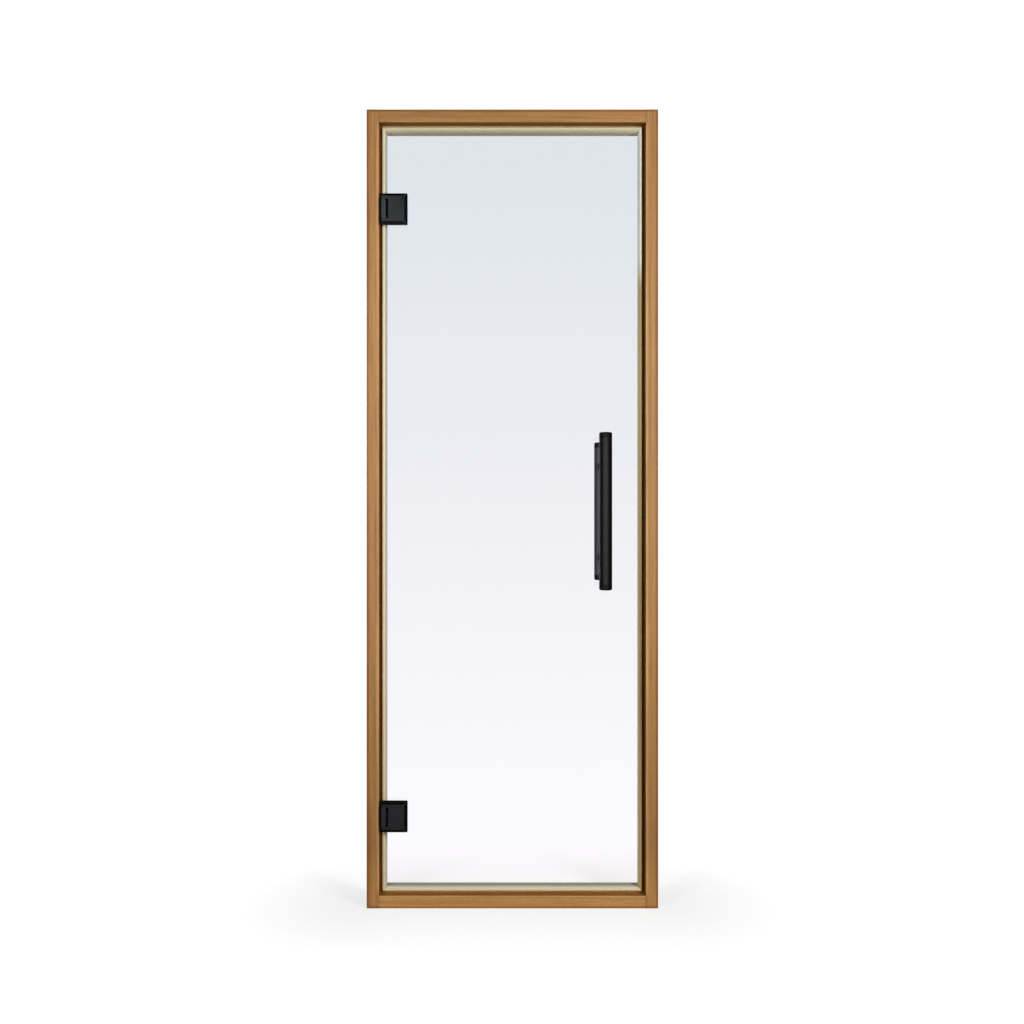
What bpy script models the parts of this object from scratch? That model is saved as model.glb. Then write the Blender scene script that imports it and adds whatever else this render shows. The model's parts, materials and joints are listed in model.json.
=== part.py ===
"""Glass sauna door: a rebated timber frame, a frameless glass leaf on two clamp
hinges, a pair of bar handles and a roller catch.

Metres, +Z up. X runs from the hinge jamb to the latch jamb, Y runs into the sauna
room, and the origin is the middle of the sill's underside.
"""
import math

import bmesh
import bpy
from mathutils import Matrix, Vector

# Timber frame
FRAME_WIDTH = 0.690
FRAME_HEIGHT = 1.890
FRAME_DEPTH = 0.056
FACE_WIDTH = 0.0295
HEAD_FACE_WIDTH = 0.031
STOP_WIDTH = 0.0125
REBATE_DEPTH = 0.024
OUTER_ARRIS = 0.003
INNER_ARRIS = 0.0015
END_ARRIS = 0.002

# Glass leaf
GLASS_THICKNESS = 0.008
GLASS_SETBACK = 0.006
GLASS_CORNER = 0.003
GLASS_CHAMFER = 0.001
HINGE_SIDE_CLEARANCE = 0.0075
LATCH_SIDE_CLEARANCE = 0.009
HEAD_CLEARANCE = 0.0075
SILL_CLEARANCE = 0.009
GLASS_HOLE_DIAMETER = 0.012

# Seal
SEAL_WIDTH = 0.006
SEAL_GAP = 0.0004
SEAL_LEG = 0.001
SEAL_LEG_FROM_BACK = 0.002

# Hinges
UPPER_HINGE_FROM_TOP = 0.2365
LOWER_HINGE_FROM_BOTTOM = 0.218
HINGE_AXIS_INSET = 0.011
HINGE_AXIS_PROUD = 0.001
HINGE_HEIGHT = 0.0735
HINGE_REACH = 0.0565
KNUCKLE_RADIUS = 0.0065
KNUCKLE_HEIGHT = 0.046
KNUCKLE_SLOT = 0.005
EAR_REACH = 0.009
KNUCKLE_PLAY = 0.0005
PIN_DIAMETER = 0.006
PIN_CHAMFER = 0.00075
PIN_END_STEP = 0.0005
PLATE_CORNER = 0.002
PLATE_BORDER = 0.007
PLATE_BORDER_DEPTH = 0.005
NOTCH_CORNER = 0.0022
INNER_PLATE_THICKNESS = 0.005
INNER_PLATE_HEIGHT = 0.057
INNER_PLATE_INSET = 0.003
INNER_PLATE_FROM_STOP = 0.002
INNER_PLATE_CHAMFER = 0.0015
GASKET_THICKNESS = 0.0012
GASKET_MARGIN = 0.001
GASKET_FROM_KNUCKLE = 0.001
GASKET_HOLE_CLEARANCE = 0.0006
CLAMP_SCREW_SPACING = 0.042
CLAMP_SCREW_FROM_EDGE = 0.020
CLAMP_SCREW_DIAMETER = 0.006
CLAMP_SCREW_HEAD = 0.012
CLAMP_SCREW_HEAD_HEIGHT = 0.003
CLAMP_SCREW_BITE = 0.0065
FRAME_LEAF_THICKNESS = 0.003
FRAME_LEAF_DEPTH = 0.018

# Handles
HANDLE_HEIGHT = 0.9395
HANDLE_BACKSET = 0.092
BAR_DIAMETER = 0.030
BAR_WALL = 0.0025
OUTER_BAR_LENGTH = 0.3374
INNER_BAR_LENGTH = 0.3089
OUTER_STANDOFF = 0.071
INNER_STANDOFF = 0.064
CAP_THICKNESS = 0.0125
CAP_CHAMFER = 0.0025
CAP_SPIGOT = 0.010
POST_SPACING = 0.218
POST_DIAMETER = 0.019
WASHER_THICKNESS = 0.0015
WASHER_MARGIN = 0.0015
STUD_DIAMETER = 0.008
STUD_BITE = 0.015

# Roller catch
CATCH_HEIGHT = 0.936
CATCH_LENGTH = 0.026
CATCH_WIDTH = 0.014
CATCH_PLATE = 0.0015
CATCH_PROUD = 0.004
CATCH_DEPTH_CENTRE = 0.012
ROLLER_DIAMETER = 0.007
ROLLER_LENGTH = 0.016

# Clearances and facets
JOINT_GAP = 0.0003
PIN_GAP = 0.0003
ROUND_SEGMENTS = 32
SMALL_SEGMENTS = 20
FILLET_SEGMENTS = 4
SHARP_ANGLE = math.radians(32)
TOOL_REACH = 0.010

# Derived places
HALF_WIDTH = FRAME_WIDTH / 2
FRONT = -FRAME_DEPTH / 2
BACK = FRAME_DEPTH / 2
MEMBER_WIDTH = FACE_WIDTH + STOP_WIDTH
HEAD_WIDTH = HEAD_FACE_WIDTH + STOP_WIDTH
STOP_FRONT = FRONT + REBATE_DEPTH
GLASS_FRONT = FRONT + GLASS_SETBACK
GLASS_BACK = GLASS_FRONT + GLASS_THICKNESS
GLASS_LEFT = -HALF_WIDTH + FACE_WIDTH + HINGE_SIDE_CLEARANCE
GLASS_RIGHT = HALF_WIDTH - FACE_WIDTH - LATCH_SIDE_CLEARANCE
GLASS_BOTTOM = FACE_WIDTH + SILL_CLEARANCE
GLASS_TOP = FRAME_HEIGHT - HEAD_FACE_WIDTH - HEAD_CLEARANCE
AXIS_X = -HALF_WIDTH + FACE_WIDTH + HINGE_AXIS_INSET
AXIS_Y = FRONT - HINGE_AXIS_PROUD
HINGE_HEIGHTS = {
    "upper": FRAME_HEIGHT - UPPER_HINGE_FROM_TOP,
    "lower": LOWER_HINGE_FROM_BOTTOM,
}
HANDLE_X = GLASS_RIGHT - HANDLE_BACKSET
OUTER_GASKET_BACK = GLASS_FRONT - JOINT_GAP
PLATE_BACK = OUTER_GASKET_BACK - GASKET_THICKNESS - JOINT_GAP
PLATE_FRONT = AXIS_Y - KNUCKLE_RADIUS
INNER_GASKET_FRONT = GLASS_BACK + JOINT_GAP
INNER_PLATE_FRONT = INNER_GASKET_FRONT + GASKET_THICKNESS + JOINT_GAP
INNER_PLATE_BACK = INNER_PLATE_FRONT + INNER_PLATE_THICKNESS
PLATE_RIGHT = AXIS_X + HINGE_REACH
INNER_PLATE_LEFT = -HALF_WIDTH + MEMBER_WIDTH + INNER_PLATE_FROM_STOP
INNER_PLATE_RIGHT = PLATE_RIGHT - INNER_PLATE_INSET
SCREW_X = PLATE_RIGHT - CLAMP_SCREW_FROM_EDGE
NOTCH_RIGHT = AXIS_X + KNUCKLE_RADIUS + KNUCKLE_SLOT

X_AXIS = Vector((1, 0, 0))
Y_AXIS = Vector((0, 1, 0))
Z_AXIS = Vector((0, 0, 1))


# Shared tools
def clear_scene():
    """Remove what a new file holds."""
    for old in list(bpy.data.objects):
        bpy.data.objects.remove(old, do_unlink=True)


def make_material(name, colour, roughness, metallic=0.0, transmission=0.0):
    """Return a Principled material with one plain finish."""
    material = bpy.data.materials.new(name)
    material.use_nodes = True
    shader = material.node_tree.nodes["Principled BSDF"]
    shader.inputs["Base Color"].default_value = (*colour, 1.0)
    shader.inputs["Roughness"].default_value = roughness
    shader.inputs["Metallic"].default_value = metallic
    shader.inputs["Transmission Weight"].default_value = transmission
    material.diffuse_color = (*colour, 1.0)
    return material


def make_empty(name, location):
    """Return an empty that carries the pieces of one body."""
    empty = bpy.data.objects.new(name, None)
    empty.location = location
    bpy.context.collection.objects.link(empty)
    return empty


def fillet_outline(corners, radii):
    """Round each corner of a closed outline with an arc of its own radius."""
    points = []
    count = len(corners)
    for index, (corner, radius) in enumerate(zip(corners, radii)):
        here = Vector(corner)
        to_last = (Vector(corners[index - 1]) - here).normalized()
        to_next = (Vector(corners[(index + 1) % count]) - here).normalized()
        if radius <= 0:
            points.append(here)
            continue
        half = to_last.angle(to_next) / 2
        centre = here + (to_last + to_next).normalized() * (radius / math.sin(half))
        start = here + to_last * (radius / math.tan(half)) - centre
        end = here + to_next * (radius / math.tan(half)) - centre
        turn = math.atan2(start.x * end.y - start.y * end.x, start.dot(end))
        for step in range(FILLET_SEGMENTS + 1):
            angle = turn * step / FILLET_SEGMENTS
            points.append(centre + Matrix.Rotation(angle, 2) @ start)
    return points


def rectangle(left, right, bottom, top):
    """Return the four corners of a rectangle, anticlockwise."""
    return [(left, bottom), (right, bottom), (right, top), (left, top)]


def circle(centre, radius, segments=ROUND_SEGMENTS):
    """Return a round outline."""
    points = []
    for step in range(segments):
        angle = 2 * math.pi * step / segments
        offset = Vector((math.cos(angle), math.sin(angle))) * radius
        points.append(Vector(centre) + offset)
    return points


def skin(rings):
    """Join a stack of equal rings into one closed body with flat ends."""
    mesh = bmesh.new()
    loops = [[mesh.verts.new(point) for point in ring] for ring in rings]
    for lower, upper in zip(loops, loops[1:]):
        for index in range(len(lower)):
            after = (index + 1) % len(lower)
            mesh.faces.new((lower[index], lower[after], upper[after], upper[index]))
    mesh.faces.new(list(reversed(loops[0])))
    mesh.faces.new(loops[-1])
    bmesh.ops.recalc_face_normals(mesh, faces=mesh.faces)
    return mesh


def upright(outline, bottom, top):
    """Extrude a plan outline from one height to another."""
    rings = [[Vector((x, y, z)) for x, y in outline] for z in (bottom, top)]
    return skin(rings)


def facing(outline, front, back):
    """Extrude an outline seen from the front, from one depth to another."""
    rings = [[Vector((x, y, z)) for x, z in outline] for y in (front, back)]
    return skin(rings)


def cross_drilled(centre_x, centre_z, diameter, front, back):
    """Return a round rod along Y."""
    return facing(circle((centre_x, centre_z), diameter / 2, SMALL_SEGMENTS), front, back)


def turned(profile, segments=ROUND_SEGMENTS):
    """Turn a profile of radius and height about Z into one closed body."""
    mesh = bmesh.new()
    points = [mesh.verts.new((radius, 0, height)) for radius, height in profile]
    edges = [mesh.edges.new(pair) for pair in zip(points, points[1:])]
    if profile[0][0] > 0:
        edges.append(mesh.edges.new((points[-1], points[0])))
    bmesh.ops.spin(
        mesh,
        geom=points + edges,
        cent=(0, 0, 0),
        axis=Z_AXIS,
        angle=2 * math.pi,
        steps=segments,
        use_merge=True,
    )
    bmesh.ops.remove_doubles(mesh, verts=mesh.verts, dist=1e-6)
    bmesh.ops.recalc_face_normals(mesh, faces=mesh.faces)
    return mesh


def aimed(mesh, direction, location):
    """Turn a body from +Z to a direction and move it to a place."""
    turn = Z_AXIS.rotation_difference(Vector(direction)).to_matrix().to_4x4()
    bmesh.ops.transform(mesh, matrix=Matrix.Translation(location) @ turn, verts=mesh.verts)
    return mesh


def temporary(mesh):
    """Put a body in the scene as a wire tool for a Boolean."""
    data = bpy.data.meshes.new("tool")
    mesh.to_mesh(data)
    mesh.free()
    tool = bpy.data.objects.new("tool", data)
    tool.hide_render = True
    tool.display_type = "WIRE"
    bpy.context.collection.objects.link(tool)
    return tool


def combined(base, tools, operation):
    """Apply one exact Boolean of each tool to a body and return the result."""
    body = temporary(base)
    for mesh in tools:
        tool = temporary(mesh)
        step = body.modifiers.new("cut", "BOOLEAN")
        step.operation = operation
        step.solver = "EXACT"
        step.object = tool
        graph = bpy.context.evaluated_depsgraph_get()
        data = bpy.data.meshes.new_from_object(body.evaluated_get(graph))
        body.modifiers.clear()
        body.data = data
        bpy.data.objects.remove(tool, do_unlink=True)
    result = bmesh.new()
    result.from_mesh(body.data)
    bmesh.ops.remove_doubles(result, verts=result.verts, dist=1e-6)
    bpy.data.objects.remove(body, do_unlink=True)
    return result


def mesh_data(name, mesh):
    """Turn a body into mesh data that several objects may share."""
    data = bpy.data.meshes.new(name)
    mesh.to_mesh(data)
    mesh.free()
    data.shade_smooth()
    data.set_sharp_from_angle(angle=SHARP_ANGLE)
    return data


def add_piece(name, data, material, parent, height=0.0):
    """Link one named piece under its body's empty, raised by a height."""
    piece = bpy.data.objects.new(name, data)
    if not data.materials:
        data.materials.append(material)
    piece.parent = parent
    piece.location = Vector((0, 0, height)) - parent.location
    bpy.context.collection.objects.link(piece)
    return piece


# Timber frame
def member_outline(face):
    """Return the rebated section as distance from the outer edge and depth."""
    width = face + STOP_WIDTH
    corners = [
        (0, FRONT),
        (face, FRONT),
        (face, STOP_FRONT),
        (width, STOP_FRONT),
        (width, BACK),
        (0, BACK),
    ]
    radii = [OUTER_ARRIS, INNER_ARRIS, 0, INNER_ARRIS, INNER_ARRIS, INNER_ARRIS]
    return fillet_outline(corners, radii)


def end_wedge(end_z, inward):
    """Return the wedge that takes the front arris off one end of a jamb."""
    clear = (FRONT - TOOL_REACH, end_z - inward * TOOL_REACH)
    low = (FRONT - TOOL_REACH, end_z + inward * (END_ARRIS + TOOL_REACH))
    deep = (FRONT + END_ARRIS + TOOL_REACH, end_z - inward * TOOL_REACH)
    reach = HALF_WIDTH + TOOL_REACH
    return skin([[Vector((x, y, z)) for y, z in (clear, low, deep)] for x in (-reach, reach)])


def build_jamb(name, side, wood, frame):
    """Build one full height jamb; side is -1 at the hinges and 1 at the latch."""
    section = member_outline(FACE_WIDTH)
    outline = [(side * (HALF_WIDTH - across), depth) for across, depth in section]
    wedges = [end_wedge(0, 1), end_wedge(FRAME_HEIGHT, -1)]
    body = combined(upright(outline, 0, FRAME_HEIGHT), wedges, "DIFFERENCE")
    add_piece(name, mesh_data(name, body), wood, frame)


def build_rail(name, outer_z, inward, face, wood, frame):
    """Build the head or the sill, shouldered to fit the rebates of both jambs."""
    half = HALF_WIDTH - FACE_WIDTH - JOINT_GAP
    section = [(depth, outer_z + inward * across) for across, depth in member_outline(face)]
    rings = [[Vector((x, y, z)) for y, z in section] for x in (-half, half)]
    reach = HALF_WIDTH - MEMBER_WIDTH - JOINT_GAP
    far = face + STOP_WIDTH + TOOL_REACH
    shoulders = []
    for side in (-1, 1):
        edges = sorted((side * reach, side * HALF_WIDTH))
        corners = rectangle(edges[0], edges[1], outer_z - far, outer_z + far)
        shoulders.append(facing(corners, STOP_FRONT - JOINT_GAP, BACK + TOOL_REACH))
    body = combined(skin(rings), shoulders, "DIFFERENCE")
    add_piece(name, mesh_data(name, body), wood, frame)


def seal_outline():
    """Return the seal's section: a round bead on the stop, and a leg along its inner face."""
    base = STOP_FRONT - JOINT_GAP
    crown = GLASS_BACK + SEAL_GAP
    tip = BACK - SEAL_LEG_FROM_BACK
    inner = SEAL_WIDTH + JOINT_GAP
    radius = (inner + SEAL_LEG) / 2
    steps = FILLET_SEGMENTS * 2
    arc = []
    for step in range(steps + 1):
        angle = math.pi * step / steps
        arc.append((radius * (1 - math.cos(angle)), crown + radius * (1 - math.sin(angle))))
    return [(0, base)] + arc + [(inner + SEAL_LEG, tip), (inner, tip), (inner, base)]


def build_seal(name, start, end, across, silicone, frame):
    """Build one run of seal between two outer corners, mitred at both ends."""
    along = (end - start).normalized()
    rings = []
    for corner, sign in ((start, 1), (end, -1)):
        ring = []
        for width, depth in seal_outline():
            mitre = along * sign * (width + JOINT_GAP)
            ring.append(corner + across * width + mitre + Y_AXIS * depth)
        rings.append(ring)
    add_piece(name, mesh_data(name, skin(rings)), silicone, frame)


def build_timber_frame(wood, silicone, frame):
    """Build the four members and the four runs of seal on their stops."""
    build_jamb("hinge_jamb", -1, wood, frame)
    build_jamb("latch_jamb", 1, wood, frame)
    build_rail("head_rail", FRAME_HEIGHT, -1, HEAD_FACE_WIDTH, wood, frame)
    build_rail("sill_rail", 0, 1, FACE_WIDTH, wood, frame)
    inset = MEMBER_WIDTH - SEAL_WIDTH
    left = -HALF_WIDTH + inset
    right = HALF_WIDTH - inset
    low = inset
    high = FRAME_HEIGHT - HEAD_WIDTH + SEAL_WIDTH
    low_left = Vector((left, 0, low))
    low_right = Vector((right, 0, low))
    high_left = Vector((left, 0, high))
    high_right = Vector((right, 0, high))
    build_seal("hinge_side_seal", low_left, high_left, X_AXIS, silicone, frame)
    build_seal("latch_side_seal", low_right, high_right, -X_AXIS, silicone, frame)
    build_seal("head_seal", high_left, high_right, -Z_AXIS, silicone, frame)
    build_seal("sill_seal", low_left, low_right, Z_AXIS, silicone, frame)


# Glass leaf
def glass_outlines():
    """Return the pane's edge and the outlines of its drilled holes, seen from the front."""
    edge = rectangle(GLASS_LEFT, GLASS_RIGHT, GLASS_BOTTOM, GLASS_TOP)
    outlines = [fillet_outline(edge, [GLASS_CORNER] * 4)]
    places = [(HANDLE_X, HANDLE_HEIGHT + side * POST_SPACING / 2) for side in (-1, 1)]
    for height in HINGE_HEIGHTS.values():
        for side in (-1, 1):
            places.append((SCREW_X, height + side * CLAMP_SCREW_SPACING / 2))
    for place in places:
        outlines.append(circle(place, GLASS_HOLE_DIAMETER / 2, SMALL_SEGMENTS))
    return outlines


def build_glass(glass, leaf):
    """Build the tempered pane from a filled curve, its edges and holes ground to a chamfer."""
    curve = bpy.data.curves.new("glass_outline", "CURVE")
    curve.dimensions = "2D"
    curve.fill_mode = "BOTH"
    curve.extrude = GLASS_THICKNESS / 2 - GLASS_CHAMFER
    curve.bevel_depth = GLASS_CHAMFER
    curve.bevel_resolution = 0
    curve.offset = -GLASS_CHAMFER
    for outline in glass_outlines():
        spline = curve.splines.new("POLY")
        spline.points.add(len(outline) - 1)
        for point, place in zip(spline.points, outline):
            point.co = (place[0], place[1], 0, 1)
        spline.use_cyclic_u = True
    flat = bpy.data.objects.new("glass_outline", curve)
    bpy.context.collection.objects.link(flat)
    graph = bpy.context.evaluated_depsgraph_get()
    pane = bmesh.new()
    pane.from_mesh(flat.evaluated_get(graph).to_mesh())
    bpy.data.objects.remove(flat, do_unlink=True)
    bmesh.ops.remove_doubles(pane, verts=pane.verts, dist=1e-6)
    middle = Vector((0, (GLASS_FRONT + GLASS_BACK) / 2, 0))
    stand = Matrix.Translation(middle) @ Matrix.Rotation(math.pi / 2, 4, "X")
    bmesh.ops.transform(pane, matrix=stand, verts=pane.verts)
    bmesh.ops.recalc_face_normals(pane, faces=pane.faces)
    add_piece("glass_pane", mesh_data("glass_pane", pane), glass, leaf)


# Hinges
def plate_plan():
    """Return the outer plate in plan: a flat with an oval end about the pin, cut off behind."""
    past_left = math.asin((PLATE_BACK - AXIS_Y) / KNUCKLE_RADIUS)
    sweep = math.pi / 2 + past_left
    steps = FILLET_SEGMENTS * 3
    outline = [(PLATE_RIGHT + TOOL_REACH, PLATE_BACK), (PLATE_RIGHT + TOOL_REACH, PLATE_FRONT)]
    for step in range(steps + 1):
        angle = -math.pi / 2 - sweep * step / steps
        x = AXIS_X + EAR_REACH * math.cos(angle)
        outline.append((x, AXIS_Y + KNUCKLE_RADIUS * math.sin(angle)))
    return outline


def outer_plate_mesh():
    """Model the cast outer plate: round eared end, chamfered border, a notch between."""
    half = HINGE_HEIGHT / 2
    reach = KNUCKLE_RADIUS + TOOL_REACH
    slope = PLATE_BORDER / PLATE_BORDER_DEPTH
    rings = []
    for depth, inset in (
        (PLATE_FRONT - TOOL_REACH, PLATE_BORDER + TOOL_REACH * slope),
        (PLATE_FRONT + PLATE_BORDER_DEPTH, 0),
        (PLATE_BACK + TOOL_REACH, 0),
    ):
        corners = rectangle(AXIS_X - reach, PLATE_RIGHT - inset, -half + inset, half - inset)
        outline = fillet_outline(corners, [0, PLATE_CORNER, PLATE_CORNER, 0])
        rings.append([Vector((x, depth, z)) for x, z in outline])
    plan = upright(plate_plan(), -half - TOOL_REACH, half + TOOL_REACH)
    body = combined(plan, [skin(rings)], "INTERSECT")
    notch = rectangle(
        AXIS_X - reach,
        NOTCH_RIGHT,
        -KNUCKLE_HEIGHT / 2,
        KNUCKLE_HEIGHT / 2,
    )
    notch = fillet_outline(notch, [0, NOTCH_CORNER, NOTCH_CORNER, 0])
    tools = [facing(notch, AXIS_Y - reach, AXIS_Y + reach)]
    bore = circle((AXIS_X, AXIS_Y), PIN_DIAMETER / 2 + PIN_GAP, SMALL_SEGMENTS)
    tools.append(upright(bore, -HINGE_HEIGHT, HINGE_HEIGHT))
    hole = CLAMP_SCREW_DIAMETER + 2 * PIN_GAP
    floor = PLATE_BACK - CLAMP_SCREW_BITE - JOINT_GAP
    for side in (-1, 1):
        height = side * CLAMP_SCREW_SPACING / 2
        tools.append(cross_drilled(SCREW_X, height, hole, floor, GLASS_BACK))
    return combined(body, tools, "DIFFERENCE")


def inner_plate_mesh():
    """Model the flat inner clamp plate with its countersunk screw holes."""
    half = INNER_PLATE_HEIGHT / 2
    left = INNER_PLATE_LEFT
    right = INNER_PLATE_RIGHT
    rings = []
    for depth, inset in (
        (INNER_PLATE_FRONT, 0),
        (INNER_PLATE_BACK - INNER_PLATE_CHAMFER, 0),
        (INNER_PLATE_BACK, INNER_PLATE_CHAMFER),
    ):
        corners = rectangle(left + inset, right - inset, -half + inset, half - inset)
        outline = fillet_outline(corners, [PLATE_CORNER] * 4)
        rings.append([Vector((x, depth, z)) for x, z in outline])
    tools = []
    for side in (-1, 1):
        place = (SCREW_X, INNER_PLATE_BACK, side * CLAMP_SCREW_SPACING / 2)
        radius = CLAMP_SCREW_DIAMETER / 2 + PIN_GAP
        head = CLAMP_SCREW_HEAD / 2 + PIN_GAP
        depth = CLAMP_SCREW_HEAD_HEIGHT + PIN_GAP
        sink = [
            (0, -TOOL_REACH),
            (radius, -TOOL_REACH),
            (radius, -depth),
            (head, 0),
            (head, TOOL_REACH),
            (0, TOOL_REACH),
        ]
        tools.append(aimed(turned(sink, SMALL_SEGMENTS), Y_AXIS, place))
    return combined(skin(rings), tools, "DIFFERENCE")


def gasket_mesh(left, right, height, front):
    """Model the sheet that keeps a hinge plate off the glass."""
    half = height / 2 - GASKET_MARGIN
    corners = rectangle(left, right - GASKET_MARGIN, -half, half)
    outline = fillet_outline(corners, [PLATE_CORNER] * 4)
    body = facing(outline, front, front + GASKET_THICKNESS)
    hole = CLAMP_SCREW_DIAMETER + 2 * GASKET_HOLE_CLEARANCE
    ends = (front - TOOL_REACH, front + GASKET_THICKNESS + TOOL_REACH)
    tools = []
    for side in (-1, 1):
        place = side * CLAMP_SCREW_SPACING / 2
        tools.append(cross_drilled(SCREW_X, place, hole, ends[0], ends[1]))
    return combined(body, tools, "DIFFERENCE")


def clamp_screw_mesh(height):
    """Model a countersunk screw from the inner plate into the outer one."""
    radius = CLAMP_SCREW_DIAMETER / 2
    head = CLAMP_SCREW_HEAD / 2
    tip = INNER_PLATE_BACK - PLATE_BACK + CLAMP_SCREW_BITE
    profile = [
        (0, -tip),
        (radius, -tip),
        (radius, -CLAMP_SCREW_HEAD_HEIGHT),
        (head, 0),
        (0, 0),
    ]
    return aimed(turned(profile, SMALL_SEGMENTS), Y_AXIS, (SCREW_X, INNER_PLATE_BACK, height))


def frame_leaf_mesh():
    """Model the jamb plate, bent to carry its round knuckle, bored for the pin."""
    half = KNUCKLE_HEIGHT / 2 - KNUCKLE_PLAY
    wall = -HALF_WIDTH + FACE_WIDTH + JOINT_GAP
    web = (AXIS_Y - FRAME_LEAF_THICKNESS / 2, AXIS_Y + FRAME_LEAF_THICKNESS / 2)
    angle_section = [
        (wall, web[0]),
        (AXIS_X, web[0]),
        (AXIS_X, web[1]),
        (wall + FRAME_LEAF_THICKNESS, web[1]),
        (wall + FRAME_LEAF_THICKNESS, FRONT + FRAME_LEAF_DEPTH),
        (wall, FRONT + FRAME_LEAF_DEPTH),
    ]
    plate = upright(angle_section, -half, half)
    barrel = upright(circle((AXIS_X, AXIS_Y), KNUCKLE_RADIUS), -half, half)
    body = combined(plate, [barrel], "UNION")
    bore = circle((AXIS_X, AXIS_Y), PIN_DIAMETER / 2 + PIN_GAP, SMALL_SEGMENTS)
    return combined(body, [upright(bore, -HINGE_HEIGHT, HINGE_HEIGHT)], "DIFFERENCE")


def pin_mesh():
    """Model the hinge pin with chamfered ends, just inside the ears' ends."""
    half = HINGE_HEIGHT / 2 - PIN_END_STEP
    radius = PIN_DIAMETER / 2
    profile = [
        (0, -half),
        (radius - PIN_CHAMFER, -half),
        (radius, -half + PIN_CHAMFER),
        (radius, half - PIN_CHAMFER),
        (radius - PIN_CHAMFER, half),
        (0, half),
    ]
    return aimed(turned(profile, SMALL_SEGMENTS), Z_AXIS, (AXIS_X, AXIS_Y, 0))


def build_hinges(metal, rubber, steel, frame, leaf):
    """Build both hinges from one set of shared shapes."""
    outer_plate = mesh_data("hinge_outer_plate", outer_plate_mesh())
    inner_plate = mesh_data("hinge_inner_plate", inner_plate_mesh())
    left = AXIS_X + KNUCKLE_RADIUS + GASKET_FROM_KNUCKLE
    front = PLATE_BACK + JOINT_GAP
    sheet = gasket_mesh(left, PLATE_RIGHT, HINGE_HEIGHT, front)
    outer_gasket = mesh_data("hinge_outer_gasket", sheet)
    left = INNER_PLATE_LEFT + GASKET_MARGIN
    sheet = gasket_mesh(left, INNER_PLATE_RIGHT, INNER_PLATE_HEIGHT, INNER_GASKET_FRONT)
    inner_gasket = mesh_data("hinge_inner_gasket", sheet)
    frame_leaf = mesh_data("hinge_frame_leaf", frame_leaf_mesh())
    pin = mesh_data("hinge_pin", pin_mesh())
    top_screw = mesh_data("clamp_screw_top", clamp_screw_mesh(CLAMP_SCREW_SPACING / 2))
    bottom_screw = mesh_data("clamp_screw_bottom", clamp_screw_mesh(-CLAMP_SCREW_SPACING / 2))
    for place, height in HINGE_HEIGHTS.items():
        add_piece(f"{place}_hinge_frame_leaf", frame_leaf, metal, frame, height)
        add_piece(f"{place}_hinge_pin", pin, steel, leaf, height)
        add_piece(f"{place}_hinge_outer_plate", outer_plate, metal, leaf, height)
        add_piece(f"{place}_hinge_inner_plate", inner_plate, metal, leaf, height)
        add_piece(f"{place}_hinge_outer_gasket", outer_gasket, rubber, leaf, height)
        add_piece(f"{place}_hinge_inner_gasket", inner_gasket, rubber, leaf, height)
        add_piece(f"{place}_hinge_top_screw", top_screw, steel, leaf, height)
        add_piece(f"{place}_hinge_bottom_screw", bottom_screw, steel, leaf, height)


# Handles
def bar_mesh(length):
    """Model the handle's tube, open at both ends."""
    outer = BAR_DIAMETER / 2
    inner = outer - BAR_WALL
    half = length / 2
    profile = [(inner, -half), (outer, -half), (outer, half), (inner, half)]
    return turned(profile)


def cap_mesh():
    """Model an end cap with a chamfered rim and a spigot that plugs the tube."""
    outer = BAR_DIAMETER / 2
    spigot = outer - BAR_WALL - PIN_GAP
    profile = [
        (0, -CAP_SPIGOT),
        (spigot, -CAP_SPIGOT),
        (spigot, 0),
        (outer, 0),
        (outer, CAP_THICKNESS - CAP_CHAMFER),
        (outer - CAP_CHAMFER, CAP_THICKNESS),
        (0, CAP_THICKNESS),
    ]
    return turned(profile)


def post_mesh(seat, bar_y, height):
    """Model a post from its washer to the bar, its end hollowed to the bar's round."""
    facing_out = math.copysign(1.0, bar_y - seat)
    radius = POST_DIAMETER / 2
    rod = aimed(
        turned([(0, 0), (radius, 0), (radius, abs(bar_y - seat)), (0, abs(bar_y - seat))]),
        Y_AXIS * facing_out,
        (HANDLE_X, seat, height),
    )
    saddle = upright(
        circle((HANDLE_X, bar_y), BAR_DIAMETER / 2 + JOINT_GAP),
        height - BAR_DIAMETER,
        height + BAR_DIAMETER,
    )
    bore = STUD_DIAMETER + 2 * PIN_GAP
    floor = seat + facing_out * (STUD_BITE + JOINT_GAP)
    ends = sorted((seat - facing_out * JOINT_GAP, floor))
    drill = cross_drilled(HANDLE_X, height, bore, ends[0], ends[1])
    return combined(rod, [saddle, drill], "DIFFERENCE")


def washer_mesh(front):
    """Model the soft ring between a post and the glass."""
    outer = POST_DIAMETER / 2 + WASHER_MARGIN
    inner = STUD_DIAMETER / 2 + PIN_GAP
    profile = [(inner, 0), (outer, 0), (outer, WASHER_THICKNESS), (inner, WASHER_THICKNESS)]
    return aimed(turned(profile), Y_AXIS, (HANDLE_X, front, 0))


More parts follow.
